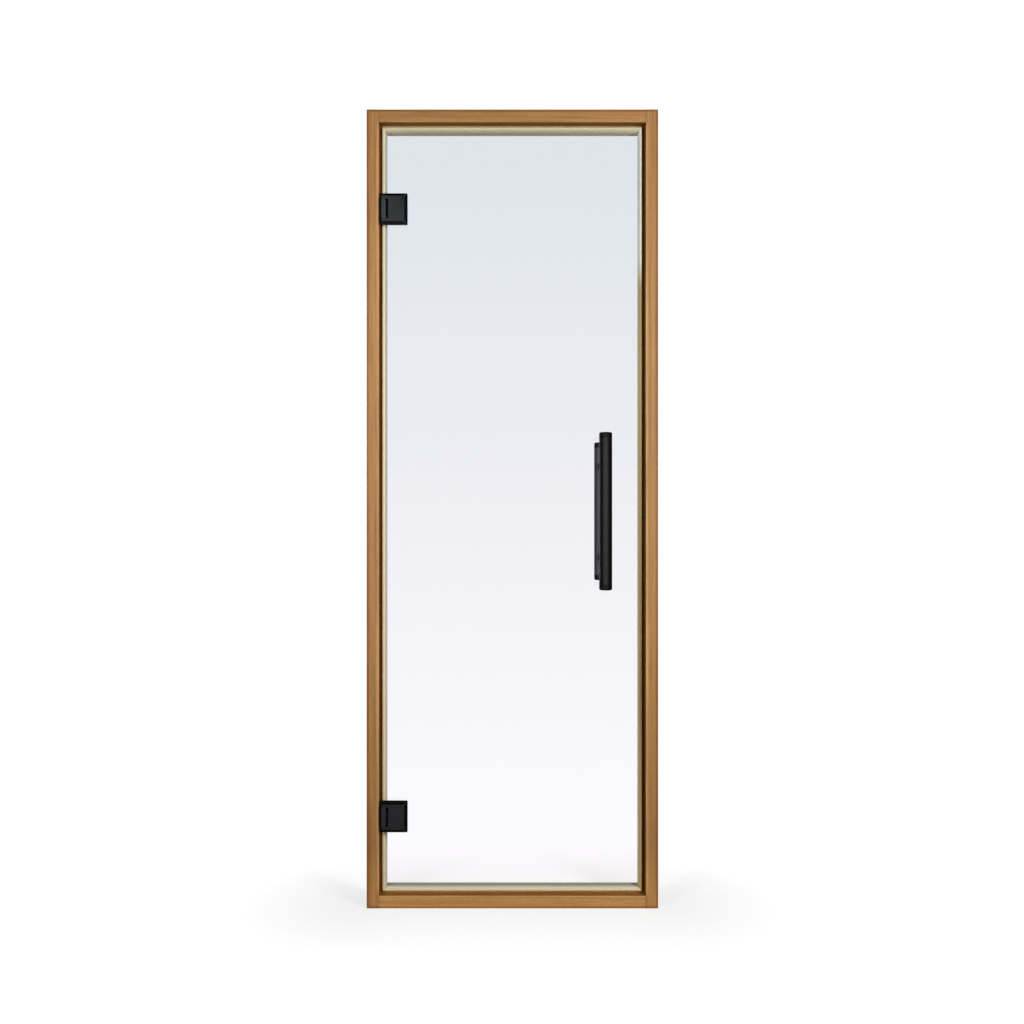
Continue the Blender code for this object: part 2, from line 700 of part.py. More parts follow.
def build_handles(metal, rubber, steel, leaf):
    """Build both bars with their caps, posts, washers and the studs through the glass."""
    outer_seat = GLASS_FRONT - WASHER_THICKNESS - 2 * JOINT_GAP
    inner_seat = GLASS_BACK + WASHER_THICKNESS + 2 * JOINT_GAP
    cap = mesh_data("handle_cap", cap_mesh())
    sides = {
        "outer": (outer_seat, GLASS_FRONT - OUTER_STANDOFF, OUTER_BAR_LENGTH),
        "inner": (inner_seat, GLASS_BACK + INNER_STANDOFF, INNER_BAR_LENGTH),
    }
    washers = {
        "outer": mesh_data("outer_washer", washer_mesh(outer_seat + JOINT_GAP)),
        "inner": mesh_data("inner_washer", washer_mesh(GLASS_BACK + JOINT_GAP)),
    }
    for side, (seat, bar_y, length) in sides.items():
        middle = Vector((HANDLE_X, bar_y, HANDLE_HEIGHT))
        bar = mesh_data(f"{side}_bar", aimed(bar_mesh(length), Z_AXIS, middle))
        add_piece(f"{side}_handle_bar", bar, metal, leaf)
        for end, sign in (("top", 1), ("bottom", -1)):
            piece = add_piece(f"{side}_handle_{end}_cap", cap, metal, leaf)
            reach = Z_AXIS * sign * (length / 2 + JOINT_GAP)
            piece.location = middle + reach - leaf.location
            piece.rotation_euler = (0 if sign > 0 else math.pi, 0, 0)
        for end, sign in (("top", 1), ("bottom", -1)):
            height = HANDLE_HEIGHT + sign * POST_SPACING / 2
            post = mesh_data(f"{side}_post_{end}", post_mesh(seat, bar_y, height))
            add_piece(f"{side}_handle_{end}_post", post, metal, leaf)
            add_piece(f"{side}_handle_{end}_washer", washers[side], rubber, leaf, height)
    radius = STUD_DIAMETER / 2
    tips = (outer_seat - STUD_BITE, inner_seat + STUD_BITE)
    length = tips[1] - tips[0]
    rod = turned([(0, 0), (radius, 0), (radius, length), (0, length)], SMALL_SEGMENTS)
    stud = mesh_data("stud", aimed(rod, Y_AXIS, (HANDLE_X, tips[0], 0)))
    for end, sign in (("top", 1), ("bottom", -1)):
        height = HANDLE_HEIGHT + sign * POST_SPACING / 2
        add_piece(f"handle_{end}_stud", stud, steel, leaf, height)


# Roller catch
def build_catch(metal, nylon, frame):
    """Build the catch plate on the latch jamb's rebate wall and its upright roller."""
    wall = HALF_WIDTH - FACE_WIDTH - JOINT_GAP
    centre = FRONT + CATCH_DEPTH_CENTRE
    half = CATCH_LENGTH / 2
    radius = ROLLER_DIAMETER / 2
    roller_x = wall - CATCH_PROUD + radius
    corners = rectangle(
        wall - CATCH_PLATE,
        wall,
        centre - CATCH_WIDTH / 2,
        centre + CATCH_WIDTH / 2,
    )
    body = upright(corners, -half, half)
    slot = rectangle(
        wall - TOOL_REACH,
        wall + TOOL_REACH,
        centre - radius - PIN_GAP,
        centre + radius + PIN_GAP,
    )
    length = ROLLER_LENGTH / 2 + PIN_GAP
    case = combined(body, [upright(slot, -length, length)], "DIFFERENCE")
    add_piece("catch_plate", mesh_data("catch_plate", case), metal, frame, CATCH_HEIGHT)
    flat = wall - JOINT_GAP
    rod = upright(
        circle((roller_x, centre), radius, SMALL_SEGMENTS),
        -ROLLER_LENGTH / 2,
        ROLLER_LENGTH / 2,
    )
    trim = rectangle(flat, flat + ROLLER_DIAMETER, centre - ROLLER_DIAMETER, centre + ROLLER_DIAMETER)
    roller = combined(rod, [upright(trim, -ROLLER_LENGTH, ROLLER_LENGTH)], "DIFFERENCE")
    add_piece("catch_roller", mesh_data("catch_roller", roller), nylon, frame, CATCH_HEIGHT)


def main():
    """Build the whole door."""
    clear_scene()
    wood = make_material("oiled_alder", (0.42, 0.23, 0.10), 0.55)
    silicone = make_material("cream_silicone", (0.66, 0.60, 0.42), 0.60)
    glass = make_material("tempered_glass", (0.90, 0.93, 0.95), 0.05, transmission=1.0)
    metal = make_material("black_coated_metal", (0.03, 0.03, 0.035), 0.45, metallic=0.6)
    rubber = make_material("black_gasket", (0.02, 0.02, 0.02), 0.80)
    steel = make_material("blackened_steel", (0.10, 0.10, 0.11), 0.35, metallic=1.0)
    nylon = make_material("grey_nylon", (0.12, 0.12, 0.12), 0.50)
    frame = make_empty("frame", Vector((0, 0, 0)))
    leaf = make_empty("leaf_on_hinge_axis", Vector((AXIS_X, AXIS_Y, 0)))
    build_timber_frame(wood, silicone, frame)
    build_glass(glass, leaf)
    build_hinges(metal, rubber, steel, frame, leaf)
    build_handles(metal, rubber, steel, leaf)
    build_catch(metal, nylon, frame)


main()
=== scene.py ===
"""Looks of a glass sauna door: the finish of every piece, its small fixings and the studio.

Metres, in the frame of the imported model. X runs from the hinge jamb to the latch jamb,
Y into the sauna room and Z up. The front of the timber frame faces -Y.
"""

import json
import logging
import math
from dataclasses import dataclass, field
from enum import Enum
from typing import Any

import bmesh
import bpy
from bmesh.types import BMesh, BMVert
from bpy.types import Collection, Material, Node, NodeSocket, NodeTree, Object
from mathutils import Matrix, Vector

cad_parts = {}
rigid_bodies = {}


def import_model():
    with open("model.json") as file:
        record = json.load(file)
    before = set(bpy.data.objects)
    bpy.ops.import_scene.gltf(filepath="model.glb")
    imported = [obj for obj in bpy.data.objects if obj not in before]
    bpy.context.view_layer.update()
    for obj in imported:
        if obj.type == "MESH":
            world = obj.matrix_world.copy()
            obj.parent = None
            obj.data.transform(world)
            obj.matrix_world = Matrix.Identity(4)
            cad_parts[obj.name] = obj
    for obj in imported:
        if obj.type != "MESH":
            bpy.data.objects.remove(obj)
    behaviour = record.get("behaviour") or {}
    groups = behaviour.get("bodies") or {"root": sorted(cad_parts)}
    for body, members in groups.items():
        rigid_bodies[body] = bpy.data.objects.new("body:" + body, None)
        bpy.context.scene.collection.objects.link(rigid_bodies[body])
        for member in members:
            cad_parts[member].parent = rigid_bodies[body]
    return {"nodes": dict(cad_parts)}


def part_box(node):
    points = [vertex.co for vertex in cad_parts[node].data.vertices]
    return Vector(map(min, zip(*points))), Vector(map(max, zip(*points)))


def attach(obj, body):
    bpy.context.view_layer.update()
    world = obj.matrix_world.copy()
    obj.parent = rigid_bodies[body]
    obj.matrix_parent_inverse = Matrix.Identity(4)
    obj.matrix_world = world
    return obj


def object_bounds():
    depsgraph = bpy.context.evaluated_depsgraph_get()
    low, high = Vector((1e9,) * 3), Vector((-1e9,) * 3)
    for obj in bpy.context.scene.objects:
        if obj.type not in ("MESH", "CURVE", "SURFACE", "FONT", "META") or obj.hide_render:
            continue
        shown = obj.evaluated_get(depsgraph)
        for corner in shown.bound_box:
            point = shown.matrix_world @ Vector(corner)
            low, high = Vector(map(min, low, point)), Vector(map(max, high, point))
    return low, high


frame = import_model()
CAD_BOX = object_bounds()

LOG = logging.getLogger("sauna_door")
Triple = tuple[float, float, float]
Colour = tuple[float, float, float, float]
Stops = tuple[tuple[float, str], ...]
Ramp = tuple[tuple[float, Colour], ...]
Source = Node | NodeSocket
MM = 0.001
SHARP = math.radians(34)
FLAT = math.radians(0.5)
WELD_MM = 0.01
KNUCKLE_WIDTH = 0.0125
BLACK = (0.0, 0.0, 0.0, 1.0)
WHITE = (1.0, 1.0, 1.0, 1.0)
COLOUR_MIX = {"data_type": "RGBA"}
COLOUR_PRODUCT = {"data_type": "RGBA", "blend_type": "MULTIPLY"}
ALONG_X = (1.0, 0.0, 0.0)
ALONG_Y = (0.0, 1.0, 0.0)
ALONG_Z = (0.0, 0.0, 1.0)

# A Mix node's sockets go by number, because their names repeat
SHARE, NUMBER_A, NUMBER_B, COLOUR_A, COLOUR_B = 0, 2, 3, 6, 7


class Grain(Enum):
    """The way that the fibres run in a timber member, as the turn that lays them along Z."""

    UPRIGHT = (0.0, 0.0, 0.0)
    LEVEL = (0.0, math.pi / 2, 0.0)


class Side(Enum):
    """The face of the leaf that a handle stands on."""

    OUTER = "outer"
    INNER = "inner"


class End(Enum):
    """The end of a handle or the screw of a pair, as the sign of Z."""

    TOP = 1
    BOTTOM = -1


def linear(code: str) -> Colour:
    """Turn an sRGB hex value into linear light.

    Args:
        code: Six hex digits after a hash.

    Returns:
        Red, green, blue and an alpha of one.
    """
    channels = [int(code[i : i + 2], 16) / 255 for i in (1, 3, 5)]
    light = [c / 12.92 if c <= 0.04045 else ((c + 0.055) / 1.055) ** 2.4 for c in channels]
    return (light[0], light[1], light[2], 1.0)


def toned(code: str, tone: float) -> Colour:
    """Lighten or darken an sRGB hex value by a share of its linear light."""
    red, green, blue, alpha = linear(code)
    return (red * tone, green * tone, blue * tone, alpha)


def feed(tree: NodeTree, node: Node, inputs: dict[str | int, Any]) -> None:
    """Set or link a node's inputs.

    Args:
        tree: The node tree that holds the node.
        node: The node.
        inputs: Socket names or numbers, each with a value, a socket to link from, or a node
            whose first output in use is linked.
    """
    for name, value in inputs.items():
        if isinstance(value, Node):
            value = next(socket for socket in value.outputs if socket.enabled)
        if isinstance(value, NodeSocket):
            tree.links.new(value, node.inputs[name])
        else:
            node.inputs[name].default_value = value


def add_node(
    tree: NodeTree,
    kind: str,
    settings: dict[str, Any] | None = None,
    inputs: dict[str | int, Any] | None = None,
    stops: Ramp = (),
) -> Node:
    """Add a node with its properties, its links and, on a colour ramp, its stops.

    Args:
        tree: The node tree that gets the node.
        kind: The node's type name after ShaderNode.
        settings: Property names and their values.
        inputs: What feed takes.
        stops: Positions and colours of a colour ramp, in rising order.

    Returns:
        The new node.
    """
    node = tree.nodes.new(f"ShaderNode{kind}")
    for name, value in (settings or {}).items():
        setattr(node, name, value)
    feed(tree, node, inputs or {})
    if stops:
        elements = node.color_ramp.elements
        while len(elements) < len(stops):
            elements.new(1.0)
        while len(elements) > len(stops):
            elements.remove(elements[-1])
        for element, (position, colour) in zip(elements, stops):
            element.position = position
            element.color = colour
    return node


def new_material(name: str) -> tuple[Material, NodeTree, Node]:
    """Make a material and return it with its tree and its Principled shader."""
    material = bpy.data.materials.new(name)
    material.use_nodes = True
    tree = material.node_tree
    return material, tree, tree.nodes["Principled BSDF"]


def millimetres(tree: NodeTree, phase: Triple = (0.0, 0.0, 0.0)) -> Node:
    """Give Object coordinates in millimetres.

    Args:
        tree: The node tree.
        phase: A shift in millimetres, so that like pieces don't repeat each other.

    Returns:
        The node that gives the vector.
    """
    place = add_node(tree, "TexCoord").outputs["Object"]
    return add_node(
        tree,
        "Mapping",
        inputs={"Vector": place, "Location": phase, "Scale": (1 / MM, 1 / MM, 1 / MM)},
    )


def rise(tree: NodeTree, low: float, high: float) -> Node:
    """Give the share of the way up from one height in metres to another."""
    place = add_node(tree, "TexCoord").outputs["Object"]
    height = add_node(tree, "SeparateXYZ", inputs={0: place}).outputs["Z"]
    return add_node(tree, "MapRange", inputs={"Value": height, "From Min": low, "From Max": high})


def squareness(tree: NodeTree, axis: Triple) -> Node:
    """Tell how squarely a face looks along an axis, either way, from 0 to 1."""
    normal = add_node(tree, "TexCoord").outputs["Normal"]
    turn = add_node(tree, "VectorMath", {"operation": "DOT_PRODUCT"}, {0: normal, 1: axis})
    return add_node(tree, "Math", {"operation": "ABSOLUTE"}, {0: turn})


def mottled(
    tree: NodeTree,
    cell_mm: float,
    code: str,
    tones: tuple[float, float],
    reach: float = 0.2,
) -> tuple[Node, Node]:
    """Vary a colour with a cloudy noise, between a darker and a lighter tone of it.

    Args:
        tree: The node tree.
        cell_mm: The size of the noise's cells.
        code: The colour as an sRGB hex value.
        tones: The shares of its light in the darkest and in the lightest cells.
        reach: How far from its middle the noise gets the full tones.

    Returns:
        The noise's node and the colour's.
    """
    cells = add_node(
        tree,
        "TexNoise",
        inputs={"Vector": millimetres(tree), "Scale": 1 / cell_mm, "Detail": 3.0},
    )
    dark, light = (toned(code, tone) for tone in tones)
    colour = add_node(
        tree,
        "ValToRGB",
        inputs={"Fac": cells},
        stops=((0.5 - reach, dark), (0.5 + reach, light)),
    )
    return cells, colour


# Finishes


@dataclass(frozen=True)
class Member:
    """How one timber member lies, and the painted light and shade on its board.

    The phase in millimetres sets its figure apart from the others'. The rebate shade is the share
    of the board's colour that the painted shade in the rebate keeps, the lip highlight tones the
    painted highlight on the inner lip, and the board light lifts the whole board where the lamps
    reach it less.
    """

    grain: Grain
    outward: Triple
    phase: Triple
    face_mm: float
    rebate_shade: Triple
    lip_highlight: float
    board_light: float


@dataclass(frozen=True)
class OiledAlder:
    """Planed alder, oiled: warm tan, with faint straight figure and fine dark pores.

    The arris's stops and the lip are shares of the face's width, counted from the member's
    outer side: the arris gets painted shade and the lip a painted highlight. The rebate's front and
    the end of its painted shade are places along Y.
    """

    name: str
    member: Member
    outer_side_mm: float
    length_mm: float = 1890.0
    rebate_front_mm: float = -28.0
    shade_end_mm: float = -3.0
    shade_edge_mm: tuple[float, float] = (-0.8, -0.2)
    dark: str = "#895b2e"
    middle: str = "#a67744"
    light: str = "#bb8c54"
    pore: str = "#5d3a1b"
    cut_end: str = "#6d4726"
    bend_cell_mm: float = 36.0
    bend_mm: float = 14.0
    bend_stretch: float = 12.0
    figure_mm: float = 9.0
    streak_mm: float = 2.2
    fibre_mm: float = 0.5
    stretch: float = 55.0
    streak_share: float = 0.42
    fibre_share: float = 0.22
    pore_mm: float = 0.35
    pore_stretch: float = 16.0
    pore_depth: float = 0.45
    relief_mm: float = 0.12
    roughness: tuple[float, float] = (0.60, 0.44)
    specular: float = 0.35
    # Painted shade along the outer arris, fading to the board's own colour inwards.
    arris: Ramp = (
        (0.0, (0.80, 0.66, 0.30, 1.0)),
        (0.14, (0.70, 0.52, 0.18, 1.0)),
        (0.20, (0.88, 0.82, 0.72, 1.0)),
        (0.27, WHITE),
    )
    # Painted highlight on the inner lip: its hue, its span, and where it fades near an end.
    lip_highlight_hue: Triple = (0.94, 1.08, 1.15)
    lip: tuple[float, float] = (0.76, 0.86)
    lip_end: float = 1.8
    # Painted bounce light: an upright member lightens towards its foot.
    foot_mm: float = 140.0
    foot_bounce_light: float = 1.4
    end_share: float = 0.45

    def material(self) -> Material:
        """Build the finish; the eye gets soft tan bands, fine streaks and a satin face."""
        material, tree, shader = new_material(self.name)
        turned = add_node(
            tree,
            "Mapping",
            inputs={
                "Vector": millimetres(tree, self.member.phase),
                "Rotation": self.member.grain.value,
            },
        )
        wander = self.layer(tree, turned, self.bend_cell_mm, detail=1.0, stretch=self.bend_stretch)
        bent = add_node(
            tree,
            "VectorMath",
            {"operation": "MULTIPLY_ADD"},
            {0: wander.outputs["Color"], 1: (self.bend_mm, self.bend_mm, 0.0), 2: turned},
        )
        figure = self.layer(tree, bent, self.figure_mm, detail=2.0, stretch=self.stretch)
        streak = self.layer(tree, bent, self.streak_mm, detail=3.0, stretch=self.stretch)
        fibre = self.layer(tree, turned, self.fibre_mm, detail=2.0, stretch=self.stretch)
        pores = self.layer(tree, turned, self.pore_mm, detail=0.0, stretch=self.pore_stretch)
        bands = add_node(
            tree,
            "Mix",
            inputs={SHARE: self.streak_share, NUMBER_A: figure, NUMBER_B: streak},
        )
        bands = add_node(
            tree,
            "Mix",
            inputs={SHARE: self.fibre_share, NUMBER_A: bands, NUMBER_B: fibre},
        )
        tones = ((0.32, self.dark), (0.50, self.middle), (0.68, self.light))
        colour = add_node(
            tree,
            "ValToRGB",
            inputs={"Fac": bands},
            stops=tuple((at, toned(code, self.member.board_light)) for at, code in tones),
        )
        dashes = add_node(
            tree,
            "MapRange",
            inputs={"Value": pores, "From Min": 0.66, "From Max": 0.74, "To Max": self.pore_depth},
        )
        colour = add_node(
            tree,
            "Mix",
            COLOUR_MIX,
            {SHARE: dashes, COLOUR_A: colour, COLOUR_B: linear(self.pore)},
        )
        place = millimetres(tree)
        depth = self.depth(tree, place)
        colour = self.paint_arris_light(tree, place, depth, colour)
        colour = self.paint_rebate_shade(tree, place, depth, colour)
        matt, smooth = self.roughness
        rough = add_node(
            tree,
            "MapRange",
            inputs={
                "Value": bands, "From Min": 0.35, "From Max": 0.65, "To Min": matt, "To Max": smooth
            },
        )
        height = add_node(tree, "Math", {"operation": "SUBTRACT"}, {0: bands, 1: dashes})
        bump = add_node(
            tree,
            "Bump",
            inputs={"Height": height, "Strength": 0.35, "Distance": self.relief_mm * MM},
        )
        feed(
            tree,
            shader,
            {
                "Base Color": self.end_grain(tree, colour),
                "Roughness": rough,
                "Normal": bump,
                "Specular IOR Level": self.specular,
            },
        )
        return material

    def layer(
        self,
        tree: NodeTree,
        place: Source,
        width_mm: float,
        detail: float,
        stretch: float,
    ) -> Node:
        """Add one noise whose cells are a width across the grain and long along it."""
        across = 1 / width_mm
        cells = add_node(
            tree,
            "Mapping",
            inputs={"Vector": place, "Scale": (across, across, across / stretch)},
        )
        return add_node(
            tree,
            "TexNoise",
            inputs={"Vector": cells, "Scale": 1.0, "Detail": detail, "Roughness": 0.55},
        )

    def depth(self, tree: NodeTree, place: Source) -> Node:
        """Measure how far a point lies inwards from the member's outer side."""
        along = add_node(
            tree,
            "VectorMath",
            {"operation": "DOT_PRODUCT"},
            {0: place, 1: self.member.outward},
        )
        return add_node(tree, "Math", {"operation": "SUBTRACT"}, {0: self.outer_side_mm, 1: along})

    def paint_arris_light(self, tree: NodeTree, place: Source, depth: Source, colour: Source) -> Node:
        """Paint shade on the face's outer arris and a highlight on its inner one.

        Args:
            tree: The node tree.
            place: The place in millimetres.
            depth: The depth from the outer side.
            colour: The board's colour.

        Returns:
            The node that gives the toned colour; on an upright member, painted bounce light makes
            it paler at its foot.
        """
        face = self.member.face_mm
        start, stop = self.lip
        lip = add_node(
            tree,
            "MapRange",
            inputs={"Value": depth, "From Min": face * start, "From Max": face * stop},
        )
        if self.member.grain is Grain.UPRIGHT:
            height = add_node(tree, "SeparateXYZ", inputs={0: place}).outputs["Z"]
            below = add_node(
                tree, "Math", {"operation": "SUBTRACT"}, {0: self.length_mm, 1: height}
            )
            end = add_node(tree, "Math", {"operation": "MINIMUM"}, {0: height, 1: below})
            depth = add_node(tree, "Math", {"operation": "MINIMUM"}, {0: depth, 1: end})
            lip = add_node(
                tree,
                "MapRange",
                inputs={
                    "Value": end, "From Min": face, "From Max": face * self.lip_end, "To Max": lip
                },
            )
            # Painted bounce light lifts the foot of an upright member.
            fade = add_node(
                tree,
                "MapRange",
                inputs={"Value": height, "From Max": self.foot_mm, "To Min": self.foot_bounce_light},
            )
            colour = add_node(
                tree, "VectorMath", {"operation": "SCALE"}, {0: colour, "Scale": fade}
            )
        inside = add_node(tree, "MapRange", inputs={"Value": depth, "From Max": face})
        edge = add_node(tree, "ValToRGB", inputs={"Fac": inside}, stops=self.arris)
        bright = (*(self.member.lip_highlight * part for part in self.lip_highlight_hue), 1.0)
        tone = add_node(tree, "Mix", COLOUR_MIX, {SHARE: lip, COLOUR_A: edge, COLOUR_B: bright})
        normal = add_node(tree, "TexCoord").outputs["Normal"]
        forward = add_node(
            tree, "VectorMath", {"operation": "DOT_PRODUCT"}, {0: normal, 1: (0, -1, 0)}
        )
        share = add_node(
            tree, "MapRange", inputs={"Value": forward, "From Min": 0.2, "From Max": 0.5}
        )
        return add_node(
            tree, "Mix", COLOUR_PRODUCT, {SHARE: share, COLOUR_A: colour, COLOUR_B: tone}
        )

    def paint_rebate_shade(self, tree: NodeTree, place: Source, depth: Source, colour: Source) -> Node:
        """Paint shade into the rebate, from behind the inner arris to the stop's front face.

        Args:
            tree: The node tree.
            place: The place in millimetres.
            depth: The depth from the outer side.
            colour: The board's colour.

        Returns:
            The node that gives the colour with the painted shade.
        """
        start, stop = (self.member.face_mm + way for way in self.shade_edge_mm)
        inside = add_node(
            tree, "MapRange", inputs={"Value": depth, "From Min": start, "From Max": stop}
        )
        back = add_node(tree, "SeparateXYZ", inputs={0: place}).outputs["Y"]
        span = add_node(
            tree,
            "MapRange",
            inputs={"Value": back, "From Min": self.rebate_front_mm, "From Max": self.shade_end_mm},
        )
        # Painted shade: the rebate's walls between its front and the stop turn dark.
        in_shade = add_node(
            tree,
            "ValToRGB",
            inputs={"Fac": span},
            stops=((0.05, BLACK), (0.10, WHITE), (0.97, WHITE), (0.99, BLACK)),
        )
        share = add_node(tree, "Math", {"operation": "MULTIPLY"}, {0: inside, 1: in_shade})
        rebate_shade = (*self.member.rebate_shade, 1.0)
        return add_node(
            tree,
            "Mix",
            COLOUR_PRODUCT,
            {SHARE: share, COLOUR_A: colour, COLOUR_B: rebate_shade},
        )

    def end_grain(self, tree: NodeTree, colour: Source) -> Node:
        """Darken the faces that cut across the fibres, which drink more oil."""
        fibres = ALONG_Z if self.member.grain is Grain.UPRIGHT else ALONG_X
        cut = add_node(
            tree,
            "MapRange",
            inputs={
                "Value": squareness(tree, fibres),
                "From Min": 0.6,
                "From Max": 0.9,
                "To Max": self.end_share,
            },
        )
        return add_node(
            tree,
            "Mix",
            COLOUR_MIX,
            {SHARE: cut, COLOUR_A: colour, COLOUR_B: linear(self.cut_end)},
        )


@dataclass(frozen=True)
class PowderCoat:
    """Satin black powder coat on cast or turned metal: a fine orange peel, no metal glint.

    Sloped borders, or what lies left of a place, may get painted shade: nearly black, with little
    sheen.
    """

    name: str
    colour: str
    tones: tuple[float, float] = (0.92, 1.08)
    roughness: float = 0.42
    roughness_swing: tuple[float, float] = (-0.02, 0.03)
    peel_mm: float = 0.7
    cloud_mm: float = 21.0
    relief_mm: float = 0.02
    specular: float = 0.5
    dark_slopes: bool = False
    underside_share: float = 1.0
    dark_left_of: float | None = None
    painted_shade_colour: str = "#030405"
    painted_shade_specular: float = 0.07

    def material(self) -> Material:
        """Build the finish; the eye gets a soft grey sheen broken by a fine peel."""
        material, tree, shader = new_material(self.name)
        peel = add_node(
            tree,
            "TexNoise",
            inputs={"Vector": millimetres(tree), "Scale": 1 / self.peel_mm, "Detail": 2.0},
        )
        cloud, colour = mottled(tree, self.cloud_mm, self.colour, self.tones, reach=0.15)
        smoother, rougher = self.roughness_swing
        rough = add_node(
            tree,
            "MapRange",
            inputs={
                "Value": cloud,
                "From Min": 0.3,
                "From Max": 0.7,
                "To Min": self.roughness + smoother,
                "To Max": self.roughness + rougher,
            },
        )
        bump = add_node(
            tree,
            "Bump",
            inputs={"Height": peel, "Strength": 0.25, "Distance": self.relief_mm * MM},
        )
        specular: float | Node = self.specular
        painted_shade: Node | None = None
        if self.dark_slopes:
            painted_shade = self.slopes(tree)
        elif self.dark_left_of is not None:
            painted_shade = self.left_part(tree)
        # Painted shade: the picked part turns nearly black and loses most of its sheen.
        if painted_shade:
            specular = add_node(
                tree,
                "Mix",
                inputs={SHARE: painted_shade, NUMBER_A: specular, NUMBER_B: self.painted_shade_specular},
            )
            colour = add_node(
                tree,
                "Mix",
                COLOUR_MIX,
                {SHARE: painted_shade, COLOUR_A: colour, COLOUR_B: linear(self.painted_shade_colour)},
            )
        feed(
            tree,
            shader,
            {
                "Base Color": colour,
                "Roughness": rough,
                "Normal": bump,
                "Specular IOR Level": specular,
            },
        )
        return material

    def slopes(self, tree: NodeTree) -> Node:
        """Pick the sloped borders for painted shade, less where they face down and the floor lights
        them.
        """
        normal = add_node(tree, "TexCoord").outputs["Normal"]
        upward = add_node(tree, "SeparateXYZ", inputs={0: normal}).outputs["Z"]
        strength = add_node(
            tree,
            "MapRange",
            inputs={
                "Value": upward,
                "From Min": -0.5,
                "From Max": -0.3,
                "To Min": self.underside_share,
            },
        )
        return add_node(
            tree,
            "MapRange",
            inputs={
                "Value": squareness(tree, ALONG_Y),
                "From Min": 0.97,
                "From Max": 0.92,
                "To Max": strength,
            },
        )

    def left_part(self, tree: NodeTree) -> Node:
        """Pick what lies left of a place for painted shade, such as the web in the shade beside a
        knuckle.
        """
        place = add_node(tree, "TexCoord").outputs["Object"]
        across = add_node(tree, "SeparateXYZ", inputs={0: place}).outputs["X"]
        return add_node(tree, "Math", {"operation": "LESS_THAN"}, {0: across, 1: self.dark_left_of})


@dataclass(frozen=True)
class Silicone:
    """Extruded cream silicone: a waxy satin skin with faint dust and drawn lines.

    The colours of the bead, of the leg behind it and of the leg's front are stops of height
    in metres, from the foot up. They are painted light and shade: each run is toned for how it
    lies, a run partly in shade is painted darker there, and the leg, which faces sideways, is
    painted as the bead in shade.
    """

    name: str
    bead: Stops
    leg: Stops
    leg_front: Stops = ()
    leg_front_mm: tuple[float, float] = (-3.0, 9.0)
    dust: float = 0.07
    dust_mm: float = 5 / 3
    relief_mm: float = 0.02
    roughness: float = 0.5
    specular: float = 0.25
    full_height: float = 1.89

    def material(self) -> Material:
        """Build the finish; the eye gets a cream bead and a leg of painted light and shade, with
        fine drawn lines.
        """
        material, tree, shader = new_material(self.name)
        place = millimetres(tree)
        start, stop = self.leg_front_mm
        back = add_node(tree, "SeparateXYZ", inputs={0: place}).outputs["Y"]
        behind = add_node(
            tree,
            "MapRange",
            {"interpolation_type": "SMOOTHSTEP"},
            {"Value": back, "From Min": start, "From Max": stop},
        )
        front = self.up(tree, self.leg_front or self.leg)
        leg = add_node(
            tree,
            "Mix",
            COLOUR_MIX,
            {SHARE: behind, COLOUR_A: front, COLOUR_B: self.up(tree, self.leg)},
        )
        # Painted shade: faces that look sideways take the leg's colours.
        beside = add_node(
            tree,
            "MapRange",
            inputs={"Value": squareness(tree, ALONG_Y), "From Min": 0.55, "From Max": 0.15},
        )
        skin = add_node(
            tree,
            "Mix",
            COLOUR_MIX,
            {SHARE: beside, COLOUR_A: self.up(tree, self.bead), COLOUR_B: leg},
        )
        fine = add_node(
            tree,
            "TexNoise",
            inputs={"Vector": place, "Scale": 1 / self.dust_mm, "Detail": 4.0},
        )
        grey = 1 - self.dust
        dusty = add_node(
            tree,
            "ValToRGB",
            inputs={"Fac": fine},
            stops=((0.35, (grey, grey, grey, 1.0)), (0.65, WHITE)),
        )
        colour = add_node(
            tree, "Mix", COLOUR_PRODUCT, {SHARE: 1.0, COLOUR_A: skin, COLOUR_B: dusty}
        )
        bump = add_node(
            tree,
            "Bump",
            inputs={"Height": fine, "Strength": 0.15, "Distance": self.relief_mm * MM},
        )
        feed(
            tree,
            shader,
            {
                "Base Color": colour,
                "Roughness": self.roughness,
                "Normal": bump,
                "Specular IOR Level": self.specular,
            },
        )
        return material

    def up(self, tree: NodeTree, stops: Stops) -> Node:
        """Colour the skin by its height, with its painted light and shade."""
        return add_node(
            tree,
            "ValToRGB",
            inputs={"Fac": rise(tree, 0.0, self.full_height)},
            stops=tuple((height / self.full_height, linear(code)) for height, code in stops),
        )


